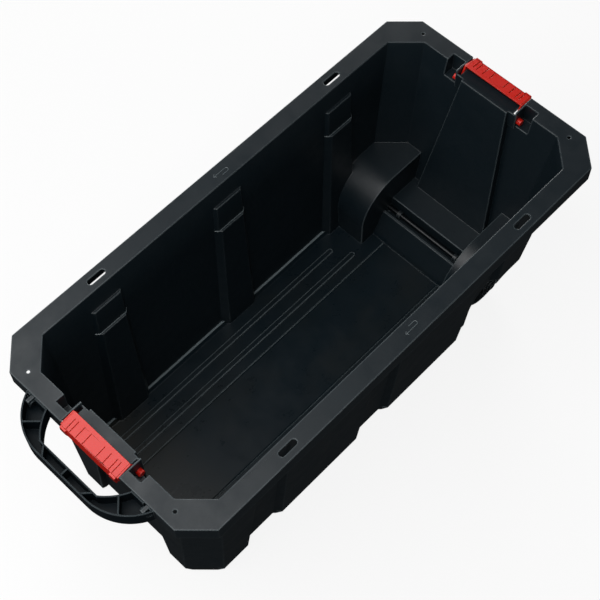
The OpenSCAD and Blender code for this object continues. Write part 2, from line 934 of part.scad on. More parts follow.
module wheel_spokes() {
    for (a = [0 : 45 : 315])
        rotate([0, 0, a])
            translate([12, -1.5, tread_in + 4])
                cube([wheel_d / 2 - 19, 3, wheel_w - 8]);
}

module wheel_left() {
    wheel();
}

module wheel_right() {
    mirror([0, 1, 0])
        wheel();
}

module axle() {
    color("#1b1c1e")
        translate([axle_x, 0, axle_z])
            rotate([90, 0, 0])
                cylinder(h = 2 * axle_half, d = axle_d, center = true);
}

module ring(y0, w, d, bore) {
    translate([axle_x, y0, axle_z])
        rotate([-90, 0, 0])
            difference() {
                cylinder(h = w, d = d);
                translate([0, 0, -1])
                    cylinder(h = w + 2, r = bore);
            }
}

// Stop collar on the axle in the trough
module axle_collar(s) {
    color("#1a1b1d")
        on_side(s)
            ring(collar_y - collar_w / 2, collar_w, collar_d, axle_d / 2 + pin_clear);
}

// Two washers beside a wheel
module axle_washers(s) {
    color("#a9acaf")
        on_side(s) {
            ring(web_out_y + side_play, washer_t, washer_d, axle_d / 2 + pin_clear);
            ring(hub_in + hub_l + side_play, washer_t, washer_d, axle_d / 2 + pin_clear);
        }
}

// Cap pressed over the end of the axle
module axle_cap(s) {
    color("#1a1b1d")
        on_side(s)
            translate([axle_x, nut_y, axle_z])
                rotate([-90, 0, 0])
                    difference() {
                        union() {
                            cylinder(h = nut_t, d = axle_d + 10);
                            cylinder(h = nut_t + 5, d = axle_d + 6);
                        }
                        translate([0, 0, -1])
                            cylinder(h = nut_t + 4 + side_play, r = axle_d / 2 + pin_clear);
                    }
}

tub();
tow_loop();
loop_pin(1);  // loop_pin_left
loop_pin(-1);  // loop_pin_right
latch_front();
latch_rear();
axle();
axle_collar(1);  // axle_collar_left
axle_collar(-1);  // axle_collar_right
wheel_left();
wheel_right();
axle_washers(1);  // axle_washers_left
axle_washers(-1);  // axle_washers_right
axle_cap(1);  // axle_cap_left
axle_cap(-1);  // axle_cap_right
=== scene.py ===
import math

import bmesh
import bpy
import numpy as np
from mathutils import Euler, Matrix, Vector


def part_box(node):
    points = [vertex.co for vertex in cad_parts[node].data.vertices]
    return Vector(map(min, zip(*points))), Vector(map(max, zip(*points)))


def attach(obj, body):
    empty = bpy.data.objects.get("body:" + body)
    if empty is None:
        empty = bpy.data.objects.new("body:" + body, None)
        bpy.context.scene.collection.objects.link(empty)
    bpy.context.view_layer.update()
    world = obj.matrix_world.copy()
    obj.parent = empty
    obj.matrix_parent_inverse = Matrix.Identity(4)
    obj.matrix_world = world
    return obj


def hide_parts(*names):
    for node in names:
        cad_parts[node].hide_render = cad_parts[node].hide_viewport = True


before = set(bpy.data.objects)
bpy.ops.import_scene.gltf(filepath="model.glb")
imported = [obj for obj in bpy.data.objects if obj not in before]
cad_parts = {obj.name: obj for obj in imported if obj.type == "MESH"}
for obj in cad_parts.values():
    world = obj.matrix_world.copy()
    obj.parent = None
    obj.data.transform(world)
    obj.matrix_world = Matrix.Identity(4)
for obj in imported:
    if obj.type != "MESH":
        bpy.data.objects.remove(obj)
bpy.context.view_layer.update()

bl_info = {
    "name": "Wheeled tool tote",
    "version": (1, 0, 0),
    "blender": (4, 5, 0),
    "location": "3D View > Sidebar > Tote",
    "description": "Dresses a moulded tool tote with latches, a tow loop and wheels",
    "category": "Object",
}

MM = 0.001
WHITE = (1.0, 1.0, 1.0, 1.0)
RIM_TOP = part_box("tub")[1].z

# Half the width of the floor's sunk panel
PANEL_SIDE = 78 * MM
# Top of the bevel at the foot of each side wall, where a highlight line is painted: off the tub's middle, and
# above the ground
FOOT_SIDE = 192.8 * MM
FOOT_TOP = 17.8 * MM
# Share of the highlight that is left in the pits of the eroded floor, and in the painted shade of the step
# beside the floor's panel
PITTED_SHEEN = (0.44, 0.46, 0.48, 1.0)
CREASE_SHADE_SHEEN = (0.06, 0.06, 0.06, 1.0)

# Faces that meet at less than the first angle are one flat face, and an edge that turns by
# more than the second is rounded
FLAT_DEG = 0.4
SHARP_DEG = 32
# Place of the raised arrow on each long side of the rim, the size of its strokes, and the
# turn above which an edge of it stays sharp
ARROW_X, ARROW_Y = 3 * MM, 243 * MM
ARROW_WIDTH, ARROW_HEIGHT = 1.5 * MM, 0.45 * MM
ARROW_SHARP_DEG = 50

# Half the side of the ground, and how far it lies below the feet
GROUND_HALF = 30.0
GROUND_DROP = 0.2 * MM
# Share of plain white: of the ground seen straight, and of the ground and the sky mirrored
GROUND_GLOW = 0.87
GROUND_GLOW_MIRRORED = 0.02
SKY_GLOW_MIRRORED = 0.01
CAMERA_PLACE = (-0.92022, -0.87693, 2.55214)
CAMERA_TURN_DEG = (28.97679, 0.43929, -46.15969)


# --------------------------------------------------------------------------- colours and nodes


def linear(hex_colour):
    """An sRGB hex colour as linear red, green and blue."""
    parts = [int(hex_colour[i : i + 2], 16) / 255 for i in (1, 3, 5)]
    return tuple(p / 12.92 if p <= 0.04045 else ((p + 0.055) / 1.055) ** 2.4 for p in parts)


def per(size_mm):
    """Texture scale at which one cell of a pattern is size_mm across, on coordinates in metres."""
    return 1 / (size_mm * MM)


def add_node(tree, kind, inputs=None, **settings):
    """One shader node with its settings; an input is a value or the socket that feeds it."""
    made = tree.nodes.new(kind)
    for name, value in settings.items():
        setattr(made, name, value)
    for name, value in (inputs or {}).items():
        if isinstance(value, bpy.types.NodeSocket):
            tree.links.new(value, made.inputs[name])
        else:
            made.inputs[name].default_value = value
    return made


def new_material(name):
    """An empty node material, its tree and its Object coordinates."""
    made = bpy.data.materials.new(name)
    made.use_nodes = True
    tree = made.node_tree
    tree.nodes.clear()
    place = add_node(tree, "ShaderNodeTexCoord").outputs["Object"]
    return made, tree, place


def close_material(tree, shader):
    """Feeds the finished shader to the material's output."""
    add_node(tree, "ShaderNodeOutputMaterial", {"Surface": shader.outputs[0]})


# --------------------------------------------------------------------------- materials


def edge_scuff_and_highlight(tree, reach_mm, wear):
    """The strength, 0 to 1, of the paler colour on an outer edge of the moulding, partly wear marks and
    partly a painted highlight, falling to 0 at reach_mm from it.

    Short rays sent into the plastic meet its other faces mostly near an outer edge."""
    near_edge = add_node(
        tree,
        "ShaderNodeAmbientOcclusion",
        {"Distance": reach_mm * MM},
        inside=True,
        only_local=True,
        samples=6,
    )
    return add_node(
        tree,
        "ShaderNodeMapRange",
        {
            "Value": near_edge.outputs["AO"],
            "From Min": 0.55,
            "From Max": 0.95,
            "To Min": wear,
            "To Max": 0.0,
        },
    ).outputs["Result"]


def band(tree, value, middle, full, gone, strength=1.0):
    """A line on the surface: the strength where value is within full of middle, 0 from gone on."""
    off = add_node(tree, "ShaderNodeMath", {0: value, 1: middle}, operation="SUBTRACT")
    apart = add_node(tree, "ShaderNodeMath", {0: off.outputs[0]}, operation="ABSOLUTE")
    return add_node(
        tree,
        "ShaderNodeMapRange",
        {
            "Value": apart.outputs[0],
            "From Min": full,
            "From Max": gone,
            "To Min": strength,
            "To Max": 0.0,
        },
    ).outputs["Result"]


def moulded_plastic(
    name,
    colour,
    flow_colour,
    scuff_and_highlight_colour,
    roughness,
    grain_mm,
    ior,
    haze=0.10,
    wear=0.4,
    specular=0.5,
):
    """Injection-moulded plastic, pigmented through.

    The eye sees a satin skin: a fine eroded grain that breaks up reflections, broad flow
    marks in which the plastic is a little greyer, rubbed patches that shine more, and
    outer edges painted paler, partly as wear marks and partly as a painted highlight."""
    made, tree, place = new_material(name)
    flow = add_node(
        tree, "ShaderNodeTexNoise", {"Vector": place, "Scale": per(140), "Detail": 3.0, "Distortion": 0.6}
    )
    tint = add_node(
        tree,
        "ShaderNodeMix",
        {"Factor": flow.outputs["Fac"], "A": (*colour, 1.0), "B": (*flow_colour, 1.0)},
        data_type="RGBA",
    )
    # Outer edges are painted paler: partly scuffs, partly a painted highlight along them
    scuffed_and_highlit = add_node(
        tree,
        "ShaderNodeMix",
        {"Factor": edge_scuff_and_highlight(tree, 1.6, wear), "A": tint.outputs["Result"], "B": (*scuff_and_highlight_colour, 1.0)},
        data_type="RGBA",
    )
    rubbed = add_node(tree, "ShaderNodeTexNoise", {"Vector": place, "Scale": per(45), "Detail": 5.0})
    rough = add_node(
        tree,
        "ShaderNodeMapRange",
        {
            "Value": rubbed.outputs["Fac"],
            "From Min": 0.3,
            "From Max": 0.7,
            "To Min": roughness - haze / 2,
            "To Max": roughness + haze / 2,
        },
    )
    grain = add_node(tree, "ShaderNodeTexNoise", {"Vector": place, "Scale": per(grain_mm), "Detail": 2.0})
    bump = add_node(
        tree, "ShaderNodeBump", {"Height": grain.outputs["Fac"], "Strength": 0.22, "Distance": 0.12 * MM}
    )
    shader = add_node(
        tree,
        "ShaderNodeBsdfPrincipled",
        {
            "Base Color": scuffed_and_highlit.outputs["Result"],
            "Roughness": rough.outputs["Result"],
            "IOR": ior,
            "Specular IOR Level": specular,
            "Normal": bump.outputs["Normal"],
        },
    )
    close_material(tree, shader)
    return made


def moulded_tub_plastic(name, colour, flow_colour, dust_and_reflection_colour, scuff_and_highlight_colour, ior):
    """Polypropylene with carbon black, moulded in a tool with a satin rim and an eroded floor.

    The eye sees a satin flange, walls with faint upright drag marks from the tool, and a
    duller, cloudy floor with a thin brownish layer near the tow end, partly settled soiling
    and partly a painted warm reflection, and painted shade along the step of its panel;
    outer edges and ribs are painted paler, as wear marks and as a painted highlight, and a
    painted highlight line runs along the foot of the side walls."""
    made, tree, place = new_material(name)
    axes = add_node(tree, "ShaderNodeSeparateXYZ", {"Vector": place})
    height = axes.outputs["Z"]
    low = add_node(
        tree,
        "ShaderNodeMapRange",
        {"Value": height, "From Min": 14 * MM, "From Max": 20 * MM, "To Min": 1.0, "To Max": 0.0},
    )
    flow = add_node(
        tree, "ShaderNodeTexNoise", {"Vector": place, "Scale": per(150), "Detail": 4.0, "Distortion": 0.7}
    )
    tint = add_node(
        tree,
        "ShaderNodeMix",
        {"Factor": flow.outputs["Fac"], "A": (*colour, 1.0), "B": (*flow_colour, 1.0)},
        data_type="RGBA",
    )
    # Dust and a painted warm reflection lie on the floor alone, as a brownish film in clouds about 120 mm
    # across
    along = add_node(tree, "ShaderNodeMapping", {"Vector": place, "Scale": (0.6, 1.0, 1.0)})
    cloud = add_node(
        tree,
        "ShaderNodeTexNoise",
        {"Vector": along.outputs["Vector"], "Scale": per(120), "Detail": 6.0, "Roughness": 0.62},
    )
    patch = add_node(
        tree,
        "ShaderNodeMapRange",
        {"Value": cloud.outputs["Fac"], "From Min": 0.46, "From Max": 0.68, "To Min": 0.0, "To Max": 0.16},
    )
    # It lies thickest at the tow end and thins out 300 mm from the middle of the tub
    tow_end = add_node(
        tree,
        "ShaderNodeMapRange",
        {
            "Value": axes.outputs["X"],
            "From Min": -420 * MM,
            "From Max": -300 * MM,
            "To Min": 0.85,
            "To Max": 0.0,
        },
    )
    heaped = add_node(
        tree,
        "ShaderNodeMath",
        {0: tow_end.outputs["Result"], 1: cloud.outputs["Fac"], 2: patch.outputs["Result"]},
        operation="MULTIPLY_ADD",
    )
    dust_and_reflection_mask = add_node(
        tree, "ShaderNodeMath", {0: heaped.outputs[0], 1: low.outputs["Result"]}, operation="MULTIPLY"
    )
    dusty_and_reflecting = add_node(
        tree,
        "ShaderNodeMix",
        {"Factor": dust_and_reflection_mask.outputs[0], "A": tint.outputs["Result"], "B": (*dust_and_reflection_colour, 1.0)},
        data_type="RGBA",
    )
    # Outer edges are painted paler the lower they stand in the tub, palest on the floor's ribs and ledges:
    # partly scuffs, partly a painted highlight
    foot = add_node(
        tree,
        "ShaderNodeMapRange",
        {"Value": height, "From Min": 30 * MM, "From Max": 120 * MM, "To Min": 1.0, "To Max": 0.42},
    )
    edge = edge_scuff_and_highlight(tree, 3.0, 1.0)
    edge_wear_and_highlight = add_node(tree, "ShaderNodeMath", {0: edge, 1: foot.outputs["Result"]}, operation="MULTIPLY")
    # A painted highlight line about 4 mm high runs along the top of the bevel at the foot of each side wall
    side = add_node(tree, "ShaderNodeMath", {0: axes.outputs["Y"]}, operation="ABSOLUTE").outputs[0]
    at_top = band(tree, height, FOOT_TOP, 1.6 * MM, 2.4 * MM, 0.9)
    at_foot = band(tree, side, FOOT_SIDE, 3.0 * MM, 3.6 * MM)
    painted_foot_highlight = add_node(tree, "ShaderNodeMath", {0: at_top, 1: at_foot}, operation="MULTIPLY")
    pale = add_node(
        tree, "ShaderNodeMath", {0: edge_wear_and_highlight.outputs[0], 1: painted_foot_highlight.outputs[0]}, operation="MAXIMUM"
    )
    scuffed_and_highlit = add_node(
        tree,
        "ShaderNodeMix",
        {"Factor": pale.outputs[0], "A": dusty_and_reflecting.outputs["Result"], "B": (*scuff_and_highlight_colour, 1.0)},
        data_type="RGBA",
    )
    # Painted shade, about 6 mm wide, in the step along both sides of the floor's sunk panel
    beside = band(tree, side, PANEL_SIDE, 2.2 * MM, 3.8 * MM)
    painted_crease_shade = add_node(tree, "ShaderNodeMath", {0: beside, 1: low.outputs["Result"]}, operation="MULTIPLY")
    # Satin at the rim, glossier but pitted on the floor, with rubbed patches about 50 mm across
    rubbed = add_node(
        tree, "ShaderNodeTexNoise", {"Vector": place, "Scale": per(50), "Detail": 7.0, "Roughness": 0.66}
    )
    satin = add_node(
        tree,
        "ShaderNodeMapRange",
        {"Value": rubbed.outputs["Fac"], "From Min": 0.3, "From Max": 0.7, "To Min": 0.33, "To Max": 0.49},
    )
    rough = add_node(
        tree,
        "ShaderNodeMath",
        {0: low.outputs["Result"], 1: -0.09, 2: satin.outputs["Result"]},
        operation="MULTIPLY_ADD",
    )
    # Smudges of handling take up to a quarter of the sheen
    gloss = add_node(
        tree,
        "ShaderNodeMapRange",
        {"Value": rubbed.outputs["Fac"], "From Min": 0.35, "From Max": 0.65, "To Min": 1.0, "To Max": 0.76},
    )
    # The eroded floor loses half of its highlight in its pits, and the painted shade in the panel's step
    # takes nearly all of it
    pitted = add_node(
        tree,
        "ShaderNodeMix",
        {"Factor": low.outputs["Result"], "A": gloss.outputs["Result"], "B": PITTED_SHEEN},
        data_type="RGBA",
    )
    held = add_node(
        tree,
        "ShaderNodeMix",
        {"Factor": painted_crease_shade.outputs[0], "A": pitted.outputs["Result"], "B": CREASE_SHADE_SHEEN},
        data_type="RGBA",
    )
    polished = add_node(
        tree,
        "ShaderNodeMix",
        {"Factor": pale.outputs[0], "A": held.outputs["Result"], "B": WHITE},
        data_type="RGBA",
    )
    # Tool grain of about 1.2 mm, drawn coarser than the real one so that it shows
    grain = add_node(tree, "ShaderNodeTexNoise", {"Vector": place, "Scale": per(1.2), "Detail": 2.0})
    drag_place = add_node(tree, "ShaderNodeMapping", {"Vector": place, "Scale": (1.0, 1.0, 0.03)})
    drag = add_node(
        tree, "ShaderNodeTexNoise", {"Vector": drag_place.outputs["Vector"], "Scale": per(7), "Detail": 3.0}
    )
    relief = add_node(
        tree,
        "ShaderNodeMath",
        {0: drag.outputs["Fac"], 1: 0.5, 2: grain.outputs["Fac"]},
        operation="MULTIPLY_ADD",
    )
    # Outer edges of the moulding are worn to about 2 mm, which draws a bright line along them
    worn = add_node(tree, "ShaderNodeBevel", {"Radius": 2.2 * MM}, samples=6)
    bump = add_node(
        tree,
        "ShaderNodeBump",
        {
            "Height": relief.outputs[0],
            "Strength": 0.25,
            "Distance": 0.12 * MM,
            "Normal": worn.outputs["Normal"],
        },
    )
    shader = add_node(
        tree,
        "ShaderNodeBsdfPrincipled",
        {
            "Base Color": scuffed_and_highlit.outputs["Result"],
            "Roughness": rough.outputs[0],
            "IOR": ior,
            "Specular Tint": polished.outputs["Result"],
            "Normal": bump.outputs["Normal"],
        },
    )
    close_material(tree, shader)
    return made


def zinc_plated_steel(name, colour, cloud_colour, roughness):
    """Pressed steel washers with a bright zinc plate.

    The eye sees a grey metal with fine rolling lines and a faintly cloudy plate."""
    made, tree, place = new_material(name)
    stretched = add_node(tree, "ShaderNodeMapping", {"Vector": place, "Scale": (1.0, 0.04, 1.0)})
    lines = add_node(
        tree, "ShaderNodeTexNoise", {"Vector": stretched.outputs["Vector"], "Scale": per(0.9), "Detail": 3.0}
    )
    cloud = add_node(tree, "ShaderNodeTexNoise", {"Vector": place, "Scale": per(9), "Detail": 4.0})
    rough = add_node(
        tree,
        "ShaderNodeMapRange",
        {"Value": cloud.outputs["Fac"], "To Min": roughness - 0.08, "To Max": roughness + 0.1},
    )
    colour = add_node(
        tree,
        "ShaderNodeMix",
        {"Factor": cloud.outputs["Fac"], "A": (*colour, 1.0), "B": (*cloud_colour, 1.0)},
        data_type="RGBA",
    )
    bump = add_node(
        tree, "ShaderNodeBump", {"Height": lines.outputs["Fac"], "Strength": 0.25, "Distance": 0.04 * MM}
    )
    shader = add_node(
        tree,
        "ShaderNodeBsdfPrincipled",
        {
            "Base Color": colour.outputs["Result"],
            "Metallic": 1.0,
            "Roughness": rough.outputs["Result"],
            "Normal": bump.outputs["Normal"],
        },
    )
    close_material(tree, shader)
    return made


def black_painted_steel(name, colour, roughness):
    """Steel rod under a coat of satin black enamel, rubbed in patches about 30 mm across.

    The eye sees a black rod with one thin highlight, broken by long shallow paint waves."""
    made, tree, place = new_material(name)
    stretched = add_node(tree, "ShaderNodeMapping", {"Vector": place, "Scale": (1.0, 0.12, 1.0)})
    waves = add_node(
        tree, "ShaderNodeTexNoise", {"Vector": stretched.outputs["Vector"], "Scale": per(2.5), "Detail": 3.0}
    )
    wear = add_node(tree, "ShaderNodeTexNoise", {"Vector": place, "Scale": per(30), "Detail": 5.0})
    rough = add_node(
        tree,
        "ShaderNodeMapRange",
        {"Value": wear.outputs["Fac"], "To Min": roughness - 0.06, "To Max": roughness + 0.08},
    )
    bump = add_node(
        tree, "ShaderNodeBump", {"Height": waves.outputs["Fac"], "Strength": 0.2, "Distance": 0.05 * MM}
    )
    shader = add_node(
        tree,
        "ShaderNodeBsdfPrincipled",
        {
            "Base Color": (*colour, 1.0),
            "Roughness": rough.outputs["Result"],
            "IOR": 1.42,
            "Normal": bump.outputs["Normal"],
        },
    )
    close_material(tree, shader)
    return made


# --------------------------------------------------------------------------- meshes


def welded_copy(node, name):
    """A CAD node's mesh as a new mesh: equal corners joined, flat faces made whole."""
    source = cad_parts[node].data
    co = np.empty(len(source.vertices) * 3, np.float32)
    source.vertices.foreach_get("co", co)
    corners = np.empty(len(source.loops), np.int32)
    source.loops.foreach_get("vertex_index", corners)
    points, joined = np.unique(np.round(co.reshape(-1, 3), 6), axis=0, return_inverse=True)
    faces = joined.reshape(-1)[corners].reshape(-1, 3)
    whole = (faces != np.roll(faces, 1, axis=1)).all(axis=1)
    mesh = bpy.data.meshes.new(name)
    mesh.from_pydata(points, [], faces[whole])
    work = bmesh.new()
    work.from_mesh(mesh)
    bmesh.ops.dissolve_limit(
        work, angle_limit=math.radians(FLAT_DEG), verts=work.verts[:], edges=work.edges[:]
    )
    work.to_mesh(mesh)
    work.free()
    return mesh


def add_piece(mesh, material, body):
    """Links a finished mesh as a piece that rides on a body and takes its finish from a slot."""
    mesh.materials.clear()
    mesh.materials.append(material)
    piece = bpy.data.objects.new(mesh.name, mesh)
    bpy.context.scene.collection.objects.link(piece)
    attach(piece, body)
    return piece


def soften(piece, radius):
    """Rounds the sharp edges of a piece by a moulding radius and shades the rest smooth."""
    piece.data.shade_smooth()
    piece.data.set_sharp_from_angle(angle=math.radians(SHARP_DEG))
    bevel = piece.modifiers.new("Moulding radius", "BEVEL")
    bevel.width = radius
    bevel.segments = 2
    bevel.limit_method = "ANGLE"
    bevel.angle_limit = math.radians(SHARP_DEG)
    bevel.use_clamp_overlap = False
    bevel.harden_normals = True
    bevel.miter_outer = "MITER_ARC"
    bevel.loop_slide = False


def dressed_node(node, name, material, body, radius):
    """The CAD node's own shape with rounded edges and a finish, in place of the plain node."""
    piece = add_piece(welded_copy(node, name), material, body)
    soften(piece, radius)
    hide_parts(node)


def bead(path, width, height):
    """A raised bead carried along a flat path: half an ellipse, width wide and height high.

    Each path point gets the profile (across, up) = (width/2 cos a, height sin a) for a from
    0 to pi, set across the path, and both feet are sunk into the face that carries it."""
    along = np.gradient(path, axis=0)
    along /= np.linalg.norm(along, axis=1)[:, None]
    across = np.stack((-along[:, 1], along[:, 0]), axis=1)
    a = np.linspace(0.0, math.pi, 7)
    side = np.concatenate(([width / 2], width / 2 * np.cos(a), [-width / 2]))
    sunk = -0.3 * MM
    up = np.concatenate(([sunk], height * np.sin(a), [sunk]))
    flat = path[:, None, :] + across[:, None, :] * side[None, :, None]
    tall = np.broadcast_to(up[None, :, None], (*flat.shape[:2], 1))
    points = np.concatenate((flat, tall), axis=2).reshape(-1, 3)
    rings, ring = len(path), len(side)
    i, j = np.meshgrid(np.arange(rings - 1) * ring, np.arange(ring), indexing="ij")
    k = (j + 1) % ring
    walls = np.stack((i + j, i + k, i + ring + k, i + ring + j), axis=-1).reshape(-1, 4)
    first_end, last_end = np.arange(ring)[::-1], np.arange(ring) + (rings - 1) * ring
    return points, [*walls.tolist(), first_end.tolist(), last_end.tolist()]


def bent_arrow(centre, turn):
    """A plain turn-back arrow, 33 mm long: a leg, a half circle of 4 mm radius and a short leg back.

    centre is the place on the rim that the arrow is drawn about, and turn is +1 or -1, the
    side that it bends to. Two 6 mm strokes, 0.7 radians off the leg, make its head."""
    radius, far, near = 4 * MM, 13 * MM, -16 * MM
    head, lean = 6 * MM, 0.7
    bend = np.linspace(-math.pi / 2, math.pi / 2, 13)
    arc = np.stack((far + radius * np.cos(bend), radius + radius * np.sin(bend)), axis=1)
    leg = np.stack((np.linspace(near, far, 8)[:-1], np.zeros(7)), axis=1)
    back = np.stack((np.linspace(far, 0.0, 5)[1:], np.full(4, 2 * radius)), axis=1)
    lines = [np.concatenate((leg, arc, back))]
    for side in (1, -1):
        reach = np.linspace(0.0, head, 3)[:, None]
        lines.append(np.array([near, 0.0]) + reach * np.array([math.cos(lean), side * math.sin(lean)]))
    points, faces, start = [], [], 0
    for line in lines:
        placed = line * np.array([1.0, turn]) + np.array(centre)
        stroke, skin = bead(placed, ARROW_WIDTH, ARROW_HEIGHT)
        points.append(stroke)
        faces += [[n + start for n in face] for face in skin]
        start += len(stroke)
    return np.concatenate(points), faces


# --------------------------------------------------------------------------- settings


def colour_setting(name, description, hex_colour):
    """A colour that a user can change, given as sRGB hex and kept linear."""
    return bpy.props.FloatVectorProperty(
        name=name,
        description=description,
        default=linear(hex_colour),
        subtype="COLOR",
        size=3,
        min=0.0,
        max=1.0,
    )


def edge_setting(name, description, radius_mm):
    """A moulding radius that a user can change, given in millimetres and kept in metres."""
    return bpy.props.FloatProperty(
        name=name,
        description=description,
        default=radius_mm * MM,
        min=0.0,
        unit="LENGTH",
        subtype="DISTANCE",
    )


def power_setting(name, description, watts):
    """The power of a light, in watts."""
    return bpy.props.FloatProperty(name=name, description=description, default=watts, min=0.0, unit="POWER")


class ToteColours(bpy.types.PropertyGroup):
    """Colours of the tote's plastics and metal."""

    tub: colour_setting("Tub", "Plastic of the tub", "#0d181e")
    tub_flow: colour_setting("Tub flow marks", "Flow marks in the tub's plastic", "#141f25")
    # Paler colour painted on the outer edges of the black plastics: partly scuffs, partly a painted highlight
    tub_edge: colour_setting("Black edges", "Scuffed outer edges of the black plastics", "#7d898d")
    # Brownish film on the tub's floor: partly dust, partly a painted warm reflection
    dust_and_reflection: colour_setting("Dust", "Film of dust on the tub's floor", "#2f2b21")
    loop: colour_setting("Tow loop", "Plastic of the tow loop", "#070e13")
    latch: colour_setting("Latches", "Plastic of the latches", "#d4180b")
    latch_flow: colour_setting("Latch flow marks", "Flow marks in the latches", "#db2213")
    # Paler colour painted on the latches' outer edges: partly scuffs, partly a painted highlight
    latch_edge: colour_setting("Latch edges", "Scuffed outer edges of the latches", "#d8493a")
    wheel: colour_setting("Wheels", "Plastic of the wheels", "#1a1d1f")
    collar: colour_setting("Collars and caps", "Plastic of the collars and caps", "#121416")
    axle: colour_setting("Axle", "Paint on the axle", "#060b0f")
    steel: colour_setting("Steel", "Zinc plate on the washers", "#8e9295")
    steel_cloud: colour_setting("Steel cloud", "Cloudy places in the zinc plate", "#a3a7aa")


class ToteSizes(bpy.types.PropertyGroup):
    """Moulding radii of the tote's edges."""

    tub_edge: edge_setting("Tub edge radius", "Radius on the tub's edges", 1.2)
    loop_edge: edge_setting("Loop edge radius", "Radius on the edges of the loop and its pins", 0.8)
    latch_edge: edge_setting("Latch edge radius", "Radius on the latches' edges", 0.8)
    wheel_edge: edge_setting("Wheel edge radius", "Radius on the wheels' edges", 0.9)
    axle_edge: edge_setting("Axle edge radius", "Radius on the edges of the axle's ends", 0.6)
    collar_edge: edge_setting("Collar edge radius", "Radius on the edges of collars and caps", 0.5)
    washer_edge: edge_setting("Washer edge radius", "Radius on the washers' edges", 0.2)


class ToteStage(bpy.types.PropertyGroup):
    """Camera and light."""

    lens: bpy.props.FloatProperty(
        name="Lens", description="Focal length on a 36 mm sensor", default=80.36, unit="CAMERA"
    )
    key_power: power_setting("Key light", "Power of the large light high beyond the tow end", 102.0)
    fill_power: power_setting("Fill light", "Power of the low light beyond the left wheel", 80.0)
    side_power: power_setting("Side light", "Power of the low light along the right side", 17.0)
    tow_power: power_setting("Tow light", "Power of the low light before the tow end", 11.9)
    sky: bpy.props.FloatProperty(
        name="Sky", description="Strength of the light from all round", default=0.04, min=0.0
    )


# --------------------------------------------------------------------------- operators


class TOTE_OT_tub(bpy.types.Operator):
    """Dress the moulded tub"""

    bl_idname = "tote.tub"
    bl_label = "Tub"

    def execute(self, context):
        colours, sizes = context.scene.tote_colours, context.scene.tote_sizes
        plastic = moulded_tub_plastic(
            "Polypropylene_moulded_tub",
            colours.tub,
            colours.tub_flow,
            colours.dust_and_reflection,
            colours.tub_edge,
            ior=1.56,
        )
        dressed_node("tub", "Tub", plastic, "tub_body", sizes.tub_edge)
        # A plain raised arrow stands on the middle of each long side of the rim
        for side, name in ((1, "left"), (-1, "right")):
            points, faces = bent_arrow((ARROW_X, side * ARROW_Y), -side)
            points[:, 2] += RIM_TOP
            mesh = bpy.data.meshes.new(f"Rim_arrow_{name}")
            mesh.from_pydata(points, [], faces)
            work = bmesh.new()
            work.from_mesh(mesh)
            bmesh.ops.recalc_face_normals(work, faces=work.faces[:])
            work.to_mesh(mesh)
            work.free()
            mesh.shade_smooth()
            mesh.set_sharp_from_angle(angle=math.radians(ARROW_SHARP_DEG))
            add_piece(mesh, plastic, "tub_body")
        return {"FINISHED"}


class TOTE_OT_tow_loop(bpy.types.Operator):
    """Dress the tow loop and its two pins"""

    bl_idname = "tote.tow_loop"
    bl_label = "Tow loop"

    def execute(self, context):
        colours, sizes = context.scene.tote_colours, context.scene.tote_sizes
        plastic = moulded_plastic(
            "Polypropylene_moulded_loop",
            colours.loop,
            colours.tub,
            colours.tub_edge,
            roughness=0.42,
            grain_mm=0.9,
            ior=1.49,
            wear=0.5,
            specular=0.12,
        )
        for node, name in (
            ("tow_loop", "Tow_loop"),
            ("loop_pin_left", "Loop_pin_left"),
            ("loop_pin_right", "Loop_pin_right"),
        ):
            dressed_node(node, name, plastic, "tub_body", sizes.loop_edge)
        return {"FINISHED"}


class TOTE_OT_latches(bpy.types.Operator):
    """Dress the two latches"""

    bl_idname = "tote.latches"
    bl_label = "Latches"

    def execute(self, context):
        colours, sizes = context.scene.tote_colours, context.scene.tote_sizes
        plastic = moulded_plastic(
            "ABS_moulded_latch",
            colours.latch,
            colours.latch_flow,
            colours.latch_edge,
            roughness=0.32,
            grain_mm=0.8,
            ior=1.54,
            haze=0.06,
            wear=0.7,
        )
        for end in ("front", "rear"):
            body = f"{end}_latch_body"
            dressed_node(f"latch_{end}", f"Latch_{end}", plastic, body, sizes.latch_edge)
        return {"FINISHED"}


class TOTE_OT_wheels(bpy.types.Operator):
    """Dress the two wheels"""

    bl_idname = "tote.wheels"
    bl_label = "Wheels"

    def execute(self, context):
        colours, sizes = context.scene.tote_colours, context.scene.tote_sizes
        plastic = moulded_plastic(
            "Polyethylene_moulded_wheel",
            colours.wheel,
            colours.tub_flow,
            colours.tub_edge,
            roughness=0.5,
            grain_mm=1.3,
            ior=1.54,
        )
        for side in ("left", "right"):
            body = f"{side}_wheel_body"
            dressed_node(f"wheel_{side}", f"Wheel_{side}", plastic, body, sizes.wheel_edge)
        return {"FINISHED"}


class TOTE_OT_axle(bpy.types.Operator):
    """Dress the axle with its collars, washers and caps"""

    bl_idname = "tote.axle"
    bl_label = "Axle"

    def execute(self, context):
        colours, sizes = context.scene.tote_colours, context.scene.tote_sizes
        steel = zinc_plated_steel(
            "Steel_pressed_zinc_plated", colours.steel, colours.steel_cloud, roughness=0.34
        )
        collar = moulded_plastic(
            "Polyamide_moulded_collar",
            colours.collar,
            colours.tub_flow,
            colours.tub_edge,
            roughness=0.45,
            grain_mm=0.9,
            ior=1.53,
        )
        paint = black_painted_steel("Steel_painted_black", colours.axle, roughness=0.26)
        dressed_node("axle", "Axle", paint, "tub_body", sizes.axle_edge)
        for side in ("left", "right"):
            for part, material, slot, radius in (
                ("collar", collar, "collar_plastic", sizes.collar_edge),
                ("washers", steel, "zinc_steel", sizes.washer_edge),
                ("cap", collar, "collar_plastic", sizes.collar_edge),
            ):
                node = f"axle_{part}_{side}"
                dressed_node(node, node.capitalize(), material, "tub_body", radius)
        return {"FINISHED"}


